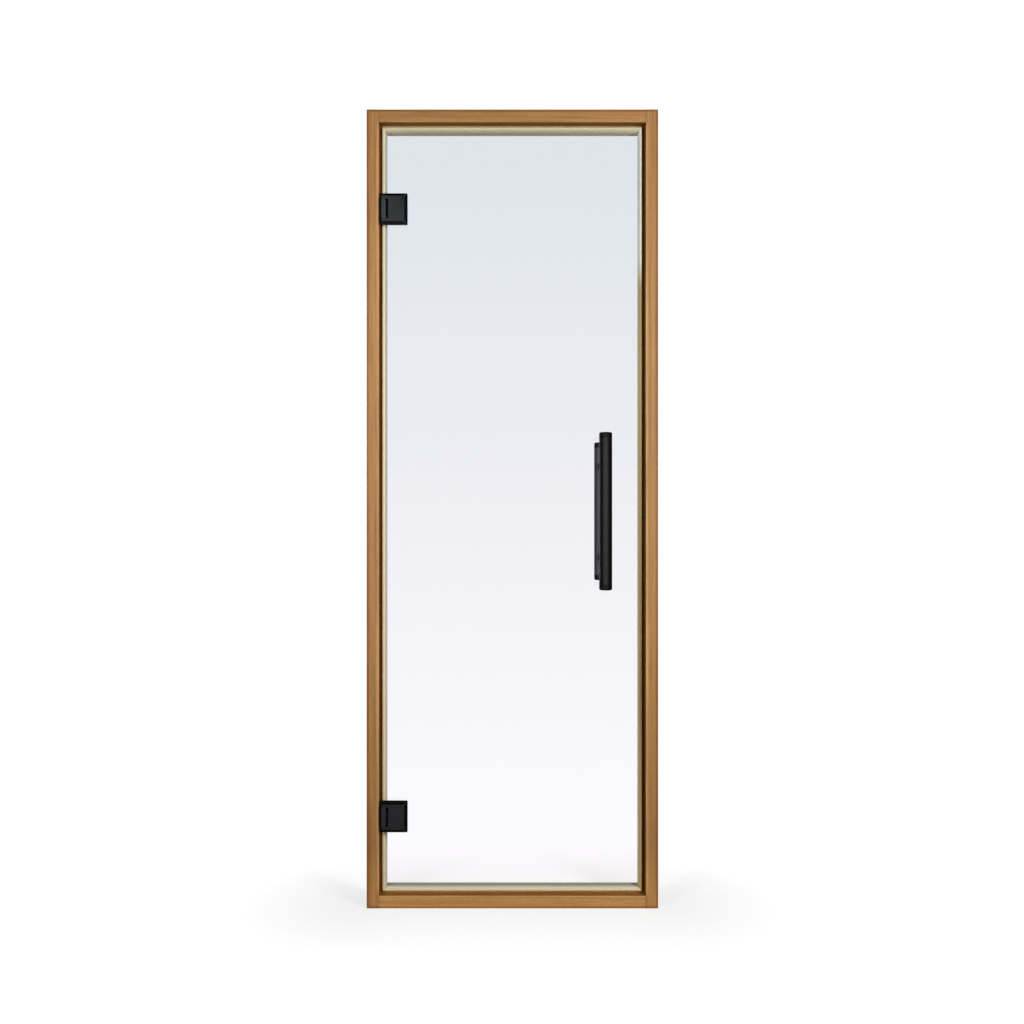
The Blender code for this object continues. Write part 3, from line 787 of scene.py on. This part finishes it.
@dataclass(frozen=True)
class TemperedGlass:
    """Clear float glass, tempered, with ground edges and a painted reflection: cool at the head,
    clear at the foot.

    The lamps stand to the sides and reach little of the rebate, so each face of the pane
    passes on a bit more of their light than it gets.
    """

    name: str
    low: float
    high: float
    painted_reflection_tints: Stops = ((0.05, "#fbf9fb"), (0.32, "#f4f3f8"), (0.62, "#eaebf0"), (0.95, "#dde4ea"))
    ground: str = "#c9d8d2"
    ground_roughness: float = 0.38
    ior: float = 1.5
    specular: float = 0.25
    lamp_gain: float = 1.45

    def material(self) -> Material:
        """Build the finish; lamps pass through, so that what stands behind is lit."""
        material, tree, shader = new_material(self.name)
        # Painted reflection: the pane turns cooler towards its head.
        reflection_tint = add_node(
            tree,
            "ValToRGB",
            inputs={"Fac": rise(tree, self.low, self.high)},
            stops=tuple((share, linear(code)) for share, code in self.painted_reflection_tints),
        )
        edge = add_node(
            tree,
            "Math",
            {"operation": "LESS_THAN"},
            {0: squareness(tree, ALONG_Y), 1: 0.9},
        )
        colour = add_node(
            tree,
            "Mix",
            COLOUR_MIX,
            {SHARE: edge, COLOUR_A: reflection_tint, COLOUR_B: linear(self.ground)},
        )
        rough = add_node(
            tree, "Math", {"operation": "MULTIPLY"}, {0: edge, 1: self.ground_roughness}
        )
        feed(
            tree,
            shader,
            {
                "Base Color": colour,
                "Roughness": rough,
                "IOR": self.ior,
                "Specular IOR Level": self.specular,
                "Transmission Weight": 1.0,
            },
        )
        gain = (self.lamp_gain, self.lamp_gain, self.lamp_gain, 1.0)
        clear = add_node(tree, "BsdfTransparent", inputs={"Color": gain})
        shadow_ray = add_node(tree, "LightPath").outputs["Is Shadow Ray"]
        both = add_node(tree, "MixShader", inputs={0: shadow_ray, 1: shader, 2: clear})
        feed(tree, tree.nodes["Material Output"], {"Surface": both})
        return material


@dataclass(frozen=True)
class Rubber:
    """Cut black rubber sheet: matt, with a fine grit that breaks the edge light."""

    name: str
    colour: str = "#19191a"
    tones: tuple[float, float] = (0.7, 1.5)
    grit_mm: float = 0.4
    relief_mm: float = 0.04
    roughness: float = 0.82

    def material(self) -> Material:
        """Build the finish; the eye gets a dull even black with a faint grit."""
        material, tree, shader = new_material(self.name)
        grit, colour = mottled(tree, self.grit_mm, self.colour, self.tones)
        bump = add_node(
            tree,
            "Bump",
            inputs={"Height": grit, "Strength": 0.5, "Distance": self.relief_mm * MM},
        )
        feed(tree, shader, {"Base Color": colour, "Roughness": self.roughness, "Normal": bump})
        return material


@dataclass(frozen=True)
class BlackenedSteel:
    """Turned steel, chemically blackened: a dark metal with fine lathe lines."""

    name: str
    colour: str = "#2b2c2f"
    tones: tuple[float, float] = (0.7, 1.3)
    roughness: tuple[float, float] = (0.26, 0.46)
    line_mm: float = 0.18
    stain_mm: float = 10 / 3

    def material(self) -> Material:
        """Build the finish; the eye gets a dark glint that changes along fine lines."""
        material, tree, shader = new_material(self.name)
        _, colour = mottled(tree, self.stain_mm, self.colour, self.tones)
        lines = add_node(
            tree,
            "TexNoise",
            inputs={"Vector": millimetres(tree), "Scale": 1 / self.line_mm, "Detail": 1.0},
        )
        smooth, matt = self.roughness
        rough = add_node(
            tree, "MapRange", inputs={"Value": lines, "To Min": smooth, "To Max": matt}
        )
        feed(tree, shader, {"Base Color": colour, "Roughness": rough, "Metallic": 1.0})
        return material


@dataclass(frozen=True)
class Nylon:
    """Moulded dark grey nylon: matt, with a soft even tone."""

    name: str
    colour: str = "#2e2d2b"
    tones: tuple[float, float] = (0.8, 1.25)
    cloud_mm: float = 2.5
    roughness: float = 0.55

    def material(self) -> Material:
        """Build the finish; the eye gets a soft grey that clouds a little."""
        material, tree, shader = new_material(self.name)
        _, colour = mottled(tree, self.cloud_mm, self.colour, self.tones)
        feed(tree, shader, {"Base Color": colour, "Roughness": self.roughness})
        return material


# Shaping


def soften(piece: Object, width_mm: float) -> None:
    """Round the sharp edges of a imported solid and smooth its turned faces.

    Args:
        piece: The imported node's object, whose own mesh stays as it is.
        width_mm: The width of the rounding in millimetres, or zero for none.
    """
    for polygon in piece.data.polygons:
        polygon.use_smooth = True
    weld = piece.modifiers.new("join", "WELD")
    weld.merge_threshold = WELD_MM * MM
    flats = piece.modifiers.new("flats", "DECIMATE")
    flats.decimate_type = "DISSOLVE"
    flats.angle_limit = FLAT
    if width_mm > 0:
        bevel = piece.modifiers.new("arris", "BEVEL")
        bevel.width = width_mm * MM
        bevel.segments = 2
        bevel.limit_method = "ANGLE"
        bevel.angle_limit = SHARP
        bevel.profile = 0.5
        bevel.use_clamp_overlap = True
    else:
        split = piece.modifiers.new("corners", "EDGE_SPLIT")
        split.split_angle = SHARP
    normals = piece.modifiers.new("flat_faces_win", "WEIGHTED_NORMAL")
    normals.mode = "FACE_AREA"
    normals.weight = 80


def dress(name: str, material: Material, width_mm: float | None = 0.0) -> None:
    """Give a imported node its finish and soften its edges.

    Args:
        name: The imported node's name.
        material: The finish.
        width_mm: The width of the edge rounding in millimetres, or None to leave the piece
            as it was packed.
    """
    piece = frame["nodes"][name]
    piece.data.materials.clear()
    piece.data.materials.append(material)
    if width_mm is not None:
        soften(piece, width_mm)
    LOG.info("dressed %s in %s", name, material.name)


def add_piece(name: str, mesh: BMesh, material: Material, body: str) -> None:
    """Make a finished mesh into a piece that rides on a body.

    Args:
        name: The piece's name.
        mesh: The finished mesh, in the row frame; it is freed here.
        material: The finish.
        body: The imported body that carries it.
    """
    bmesh.ops.recalc_face_normals(mesh, faces=mesh.faces)
    data = bpy.data.meshes.new(name)
    mesh.to_mesh(data)
    mesh.free()
    data.shade_smooth()
    data.set_sharp_from_angle(angle=SHARP)
    data.materials.append(material)
    piece = bpy.data.objects.new(name, data)
    bpy.context.scene.collection.objects.link(piece)
    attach(piece, body)
    LOG.info("made %s with %d faces on %s", name, len(data.polygons), body)


@dataclass(frozen=True)
class ScrewHead:
    """A countersunk screw head with a sunk many-sided drive, measured to its corners."""

    radius: float
    height: float
    drive_radius: float
    drive_depth: float
    sides: int = 6
    taper: float = 0.5

    def mesh(self, direction: Triple, place: Vector) -> BMesh:
        """Model the head.

        Args:
            direction: The way that its face looks.
            place: The middle of its face.

        Returns:
            The head's mesh.
        """
        mesh = bmesh.new()
        bmesh.ops.create_circle(mesh, segments=self.sides * 8, radius=self.radius, cap_ends=True)
        mesh.faces.ensure_lookup_table()
        face = mesh.faces[0]
        bmesh.ops.inset_individual(mesh, faces=[face], thickness=self.radius - self.drive_radius)
        step = 2 * math.pi / self.sides
        for vertex in face.verts:
            angle = math.atan2(vertex.co.y, vertex.co.x)
            reach = self.drive_radius * math.cos(step / 2) / math.cos(angle % step - step / 2)
            vertex.co = Vector((math.cos(angle), math.sin(angle), 0)) * reach
        floor = bmesh.ops.extrude_discrete_faces(mesh, faces=[face])["faces"][0]
        bmesh.ops.translate(mesh, vec=(0, 0, -self.drive_depth), verts=floor.verts)
        rim = [edge for edge in mesh.edges if edge.is_boundary]
        skirt = bmesh.ops.extrude_edge_only(mesh, edges=rim)["geom"]
        low = [item for item in skirt if isinstance(item, BMVert)]
        bmesh.ops.scale(mesh, vec=(self.taper, self.taper, 1.0), verts=low)
        bmesh.ops.translate(mesh, vec=(0, 0, -self.height), verts=low)
        last = [edge for edge in mesh.edges if edge.is_boundary]
        bmesh.ops.contextual_create(mesh, geom=last)
        turn = Vector(ALONG_Z).rotation_difference(Vector(direction)).to_matrix().to_4x4()
        bmesh.ops.transform(mesh, matrix=Matrix.Translation(place) @ turn, verts=mesh.verts)
        return mesh


# Sub-assemblies


@dataclass
class TimberFrame:
    """Four alder members and the cream seals on their stops."""

    # Each member's rebate shade, lip highlight and board light are painted light and shade, set for
    # how the lamps reach it.
    members: dict[str, Member] = field(
        default_factory=lambda: {
            "hinge_jamb": Member(
                Grain.UPRIGHT,
                outward=(-1, 0, 0),
                phase=(17.0, 5.0, 130.0),
                face_mm=29.5,
                rebate_shade=(0.54, 0.33, 0.14),
                lip_highlight=1.42,
                board_light=1.03,
            ),
            "latch_jamb": Member(
                Grain.UPRIGHT,
                outward=(1, 0, 0),
                phase=(-143.0, 61.0, 740.0),
                face_mm=29.5,
                rebate_shade=(0.44, 0.28, 0.12),
                lip_highlight=1.42,
                board_light=1.0,
            ),
            "head_rail": Member(
                Grain.LEVEL,
                outward=(0, 0, 1),
                phase=(390.0, 23.0, -77.0),
                face_mm=31.0,
                rebate_shade=(0.64, 0.50, 0.27),
                lip_highlight=1.05,
                board_light=1.03,
            ),
            "sill_rail": Member(
                Grain.LEVEL,
                outward=(0, 0, -1),
                phase=(-210.0, 88.0, 41.0),
                face_mm=29.5,
                rebate_shade=(0.50, 0.38, 0.19),
                lip_highlight=0.90,
                board_light=1.62,
            ),
        }
    )
    # Per run, the bead's, the leg's and the leg front's colours by height are painted light and
    # shade for where the run lies; the latch run is painted olive-brown in shade below and cream at
    # its lit head.
    seals: dict[str, tuple[Stops, ...]] = field(
        default_factory=lambda: {
            "hinge_side_seal": (
                ((0.3, "#a5966d"), (0.9, "#b2a47a"), (1.3, "#bcaa82")), ((0.0, "#c4c0b4"),)
            ),
            "head_seal": (((0.0, "#ab9b76"),), ((0.0, "#c4b290"),), ((0.0, "#f0dfbc"),)),
            "sill_seal": (((0.0, "#a89975"),), ((0.0, "#85816b"),), ((0.0, "#c2bda0"),)),
            "latch_side_seal": (
                (
                    (0.15, "#896e33"),
                    (0.5, "#634600"),
                    (1.2, "#857036"),
                    (1.475, "#857036"),
                    (1.535, "#bfb59b"),
                ),
                ((0.0, "#c4b27c"), (1.2, "#d5c58e"), (1.475, "#d5c58e"), (1.535, "#faf4e2")),
            ),
        }
    )

    def build(self) -> None:
        """Dress the members and the seals."""
        for name, member in self.members.items():
            outward = Vector(member.outward)
            outer_side_mm = max(corner.dot(outward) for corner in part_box(name)) / MM
            finish = OiledAlder(f"oiled_alder_{name}", member, outer_side_mm)
            dress(name, finish.material())
        for name, tones in self.seals.items():
            dress(name, Silicone(f"silicone_{name}", *tones).material())


@dataclass
class GlassLeaf:
    """The pane of tempered glass, whose edges are ground in the solid."""

    pane: str = "glass_pane"

    def build(self) -> None:
        """Dress the pane."""
        low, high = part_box(self.pane)
        finish = TemperedGlass("tempered_float_glass", low.z, high.z)
        dress(self.pane, finish.material(), None)


@dataclass
class ClampHinge:
    """One glass clamp hinge with its fixings."""

    place: str
    coat: Material
    knuckle_coat: Material
    rubber: Material
    steel: Material
    edge_mm: float = 0.35
    leaf_thickness: float = 0.003
    leaf_screw: ScrewHead = ScrewHead(
        radius=0.0035, height=0.0024, drive_radius=0.001575, drive_depth=0.0012
    )
    leaf_screw_spacing: float = 0.026
    leaf_screw_from_back: float = 0.0075
    clamp_screw: ScrewHead = ScrewHead(
        radius=0.0052, height=0.0006, drive_radius=0.002496, drive_depth=0.00048
    )
    proud: float = 0.0003

    def build(self) -> None:
        """Dress the cast pieces and add the heads of their screws."""
        dress(f"{self.place}_hinge_frame_leaf", self.knuckle_coat, self.edge_mm)
        for part in ("outer_plate", "inner_plate"):
            dress(f"{self.place}_hinge_{part}", self.coat, self.edge_mm)
        for part in ("outer_gasket", "inner_gasket"):
            dress(f"{self.place}_hinge_{part}", self.rubber)
        for part in ("pin", "top_screw", "bottom_screw"):
            dress(f"{self.place}_hinge_{part}", self.steel)
        for end in End:
            self.add_leaf_screw(end)
            self.add_clamp_drive(end)

    def add_leaf_screw(self, end: End) -> None:
        """Add one countersunk screw that holds the frame leaf to the jamb."""
        low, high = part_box(f"{self.place}_hinge_frame_leaf")
        seat = Vector(
            (
                low.x + self.leaf_thickness + self.proud,
                high.y - self.leaf_screw_from_back,
                (low.z + high.z) / 2 + end.value * self.leaf_screw_spacing / 2,
            )
        )
        name = f"{self.place}_leaf_screw_{end.name.lower()}"
        add_piece(name, self.leaf_screw.mesh(ALONG_X, seat), self.steel, "frame")

    def add_clamp_drive(self, end: End) -> None:
        """Add the rim and the hexagon drive on one clamp screw's flush head."""
        low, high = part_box(f"{self.place}_hinge_{end.name.lower()}_screw")
        seat = Vector(((low.x + high.x) / 2, high.y + self.proud, (low.z + high.z) / 2))
        name = f"{self.place}_clamp_drive_{end.name.lower()}"
        add_piece(name, self.clamp_screw.mesh(ALONG_Y, seat), self.steel, "leaf")


@dataclass
class BarHandle:
    """One bar handle with its caps, posts and washers."""

    side: Side
    coat: Material
    cap_coat: Material
    rubber: Material
    edge_mm: float = 0.2
    cap_edge_mm: float = 0.25

    def build(self) -> None:
        """Dress the turned pieces."""
        dress(f"{self.side.value}_handle_bar", self.coat, self.edge_mm)
        for end in End:
            stem = f"{self.side.value}_handle_{end.name.lower()}"
            dress(f"{stem}_cap", self.cap_coat, self.cap_edge_mm)
            dress(f"{stem}_post", self.coat, self.edge_mm)
            dress(f"{stem}_washer", self.rubber)


@dataclass
class RollerCatch:
    """The small catch in the latch jamb's rebate."""

    steel: Material
    plate_edge_mm: float = 0.15
    roller_edge_mm: float = 0.2
    screw: ScrewHead = ScrewHead(
        radius=0.0016, height=0.0012, drive_radius=0.0008, drive_depth=0.0006
    )
    screw_from_end: float = 0.0024
    proud: float = 0.0002

    def build(self) -> None:
        """Dress the plate and the roller, and add the plate's two screws."""
        coat = PowderCoat("grey_powder_coat", "#2c2b29").material()
        dress("catch_plate", coat, self.plate_edge_mm)
        dress("catch_roller", Nylon("moulded_nylon").material(), self.roller_edge_mm)
        low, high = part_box("catch_plate")
        reach = (high.z - low.z) / 2 - self.screw_from_end
        for end in End:
            seat = (low + high) / 2 + Vector((0.0, 0.0, end.value * reach))
            seat.x = low.x - self.proud
            name = f"catch_screw_{end.name.lower()}"
            add_piece(name, self.screw.mesh((-1, 0, 0), seat), self.steel, "frame")


@dataclass
class Studio:
    """The pale floor, the soft lamps and the camera."""

    distance: float = 2.4
    mm_per_pixel: float = 2.364
    picture: int = 1024
    sensor_mm: float = 36.0
    door_pixel: tuple[float, float] = (512.4, 508.9)
    ambient: float = 0.25
    sheen: float = 0.05
    backdrop: float = 1.05
    floor_size: float = 60.0
    floor_drop_mm: float = 0.5
    floor_glow: float = 0.68
    floor_roughness: float = 0.6
    floor_in_light: Colour = (0.1, 0.1, 0.1, 1.0)
    floor_in_view: Colour = (0.9, 0.9, 0.9, 1.0)
    shadow_reach: float = 0.45
    lamp_aim: Vector = field(default_factory=lambda: Vector((0.0, 0.0, 1.35)))
    rear_lit: tuple[str, ...] = ("jamb", "rail", "inner_plate", "clamp_drive")

    def build(self) -> None:
        """Make the floor, the world, the lamps and the camera."""
        bpy.context.scene.view_settings.view_transform = "Standard"
        self.world()
        self.floor()
        dark = self.light_group("all_but_pane_and_bar", ("glass_pane", "outer_handle"), "EXCLUDE")
        self.lamp("key_lamp", (1.3, -1.6, 1.40), size=(0.5, 1.3), power=33.8, lit=dark)
        fill = self.lamp("fill_lamp", (-1.15, -1.65, 1.36), size=(0.35, 1.5), power=20.3, lit=dark)
        shades = self.light_group("all_but_the_handles", ("handle",), "EXCLUDE")
        fill.light_linking.blocker_collection = shades
        bar = self.light_group("outer_bar", ("outer_handle",), "INCLUDE")
        self.lamp("bar_lamp", (-0.05, -1.8, 1.1), size=(3.2, 1.1), power=46.0, lit=bar)
        back = self.light_group("seen_from_inside", self.rear_lit, "INCLUDE")
        self.lamp("rear_key_lamp", (-1.3, 1.6, 1.42), size=(0.5, 1.1), power=27.0, lit=back)
        self.lamp("rear_fill_lamp", (1.15, 1.65, 1.42), size=(0.35, 1.1), power=16.0, lit=back)
        self.camera()

    def light_group(self, name: str, words: tuple[str, ...], state: str) -> Collection:
        """Gather the pieces that a lamp lights, or all that it spares.

        Args:
            name: The group's name.
            words: Parts of the names of its pieces.
            state: INCLUDE to light only these pieces, EXCLUDE to light all others.

        Returns:
            The group, for a lamp's light linking.
        """
        group = bpy.data.collections.new(name)
        for piece in bpy.context.scene.objects:
            if any(word in piece.name for word in words):
                group.objects.link(piece)
        for entry in group.collection_objects:
            entry.light_linking.link_state = state
        return group

    def seen_directly(self, tree: NodeTree) -> Node:
        """Pick the rays from the camera, also those that pass through the glass."""
        path = add_node(tree, "LightPath")
        return add_node(
            tree,
            "Math",
            {"operation": "MAXIMUM"},
            {0: path.outputs["Is Camera Ray"], 1: path.outputs["Is Transmission Ray"]},
        )

    def world(self) -> None:
        """Give soft light, a dim surround in reflections and white behind the object."""
        world = bpy.data.worlds.new("studio")
        bpy.context.scene.world = world
        world.use_nodes = True
        tree = world.node_tree
        tree.nodes.clear()
        glossy_ray = add_node(tree, "LightPath").outputs["Is Glossy Ray"]
        light = add_node(
            tree,
            "Mix",
            inputs={SHARE: glossy_ray, NUMBER_A: self.ambient, NUMBER_B: self.sheen},
        )
        strength = add_node(
            tree,
            "Mix",
            inputs={SHARE: self.seen_directly(tree), NUMBER_A: light, NUMBER_B: self.backdrop},
        )
        surround = add_node(tree, "Background", inputs={"Color": WHITE, "Strength": strength})
        add_node(tree, "OutputWorld", inputs={"Surface": surround})

    def floor(self) -> None:
        """Make a pale floor that keeps the shadow near the door and fades to white."""
        mesh = bmesh.new()
        bmesh.ops.create_grid(mesh, x_segments=1, y_segments=1, size=self.floor_size / 2)
        bmesh.ops.translate(mesh, vec=(0, 0, -self.floor_drop_mm * MM), verts=mesh.verts)
        data = bpy.data.meshes.new("floor")
        mesh.to_mesh(data)
        mesh.free()
        material, tree, shader = new_material("pale_floor")
        seen = self.seen_directly(tree)
        pale = add_node(
            tree,
            "Mix",
            COLOUR_MIX,
            {SHARE: seen, COLOUR_A: self.floor_in_light, COLOUR_B: self.floor_in_view},
        )
        feed(tree, shader, {"Base Color": pale, "Roughness": self.floor_roughness})
        share = add_node(
            tree, "Math", {"operation": "MULTIPLY"}, {0: seen, 1: self.floor_fade(tree)}
        )
        white = add_node(tree, "Emission", inputs={"Strength": self.backdrop})
        both = add_node(tree, "MixShader", inputs={0: share, 1: shader, 2: white})
        feed(tree, tree.nodes["Material Output"], {"Surface": both})
        data.materials.append(material)
        floor = bpy.data.objects.new("floor", data)
        bpy.context.scene.collection.objects.link(floor)

    def floor_fade(self, tree: NodeTree) -> Node:
        """Give the floor's own white, which grows to the full with the way from the door."""
        place = add_node(tree, "TexCoord").outputs["Object"]
        apart = add_node(tree, "VectorMath", {"operation": "ABSOLUTE"}, {0: place})
        half_width = (CAD_BOX[1][0], 0, 0)
        beyond = add_node(tree, "VectorMath", {"operation": "SUBTRACT"}, {0: apart, 1: half_width})
        clear = add_node(tree, "VectorMath", {"operation": "MAXIMUM"}, {0: beyond, 1: (0, 0, 0)})
        reach = add_node(tree, "VectorMath", {"operation": "LENGTH"}, {0: clear})
        return add_node(
            tree,
            "MapRange",
            {"interpolation_type": "SMOOTHSTEP"},
            {"Value": reach, "From Max": self.shadow_reach, "To Min": self.floor_glow},
        )

    def lamp(
        self,
        name: str,
        place: Triple,
        size: tuple[float, float],
        power: float,
        lit: Collection,
    ) -> Object:
        """Add one tall soft lamp, aimed at the door; the pane doesn't mirror it.

        Args:
            name: The lamp's name.
            place: Where it stands.
            size: Its width and its height.
            power: Its power in watts.
            lit: The group of pieces that it lights or spares.

        Returns:
            The lamp.
        """
        light = bpy.data.lights.new(name, "AREA")
        light.shape = "RECTANGLE"
        light.size, light.size_y = size
        light.energy = power
        lamp = bpy.data.objects.new(name, light)
        lamp.location = place
        lamp.rotation_mode = "QUATERNION"
        lamp.rotation_quaternion = (self.lamp_aim - Vector(place)).to_track_quat("-Z", "Y")
        lamp.visible_camera = False
        lamp.light_linking.receiver_collection = lit
        bpy.context.scene.collection.objects.link(lamp)
        return lamp

    def camera(self) -> None:
        """Stand the camera where the photograph was taken from, level and square on."""
        low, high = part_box("hinge_jamb")
        scale = self.mm_per_pixel * MM
        middle = self.picture / 2
        data = bpy.data.cameras.new("camera")
        data.sensor_width = self.sensor_mm
        data.lens = self.sensor_mm * self.distance / (self.picture * scale)
        camera = bpy.data.objects.new("camera", data)
        camera.location = (
            (middle - self.door_pixel[0]) * scale,
            low.y - self.distance,
            (low.z + high.z) / 2 - (middle - self.door_pixel[1]) * scale,
        )
        camera.rotation_euler = (math.pi / 2, 0, 0)
        bpy.context.scene.collection.objects.link(camera)
        bpy.context.scene.camera = camera


def main() -> None:
    """Build the looks of the door, piece by piece."""
    logging.basicConfig(level=logging.INFO, format="%(name)s: %(message)s")
    # Painted light: the upper hinge is painted lighter than the lower, the knuckles lighter than
    # the castings as a painted highlight, the upper casting's downward slopes get less painted
    # shade, and the web left of each knuckle gets painted shade.
    hinge_painted_light = {"upper": ("#1c1e22", "#303336", 0.75), "lower": ("#121417", "#2a2c30", 1.0)}
    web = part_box("upper_hinge_frame_leaf")[1].x - KNUCKLE_WIDTH
    # Painted light: the inner bar, seen behind the pane, is painted lighter than the outer one,
    # though both are the same black.
    bar_coats = {
        Side.OUTER: PowderCoat("satin_black_tube", "#070707", roughness=0.40, specular=0.18),
        Side.INNER: PowderCoat("soft_black_tube", "#2f2f30", roughness=0.55, specular=0.25),
    }
    cap_coat = PowderCoat("dull_black_cap", "#0a0a0a", roughness=0.5, specular=0.12).material()
    rubber = Rubber("cut_black_rubber").material()
    steel = BlackenedSteel("blackened_steel").material()
    TimberFrame().build()
    GlassLeaf().build()
    for place, (cast, turned, underside) in hinge_painted_light.items():
        hinge_coat = PowderCoat(
            f"satin_black_{place}_casting",
            cast,
            roughness=0.65,
            dark_slopes=True,
            underside_share=underside,
        )
        knuckle_coat = PowderCoat(
            f"satin_black_{place}_knuckle", turned, specular=0.35, dark_left_of=web
        )
        ClampHinge(place, hinge_coat.material(), knuckle_coat.material(), rubber, steel).build()
    for side, coat in bar_coats.items():
        BarHandle(side, coat.material(), cap_coat, rubber).build()
    for end in End:
        dress(f"handle_{end.name.lower()}_stud", steel)
    RollerCatch(steel).build()
    Studio().build()


if __name__ == "__main__":
    main()
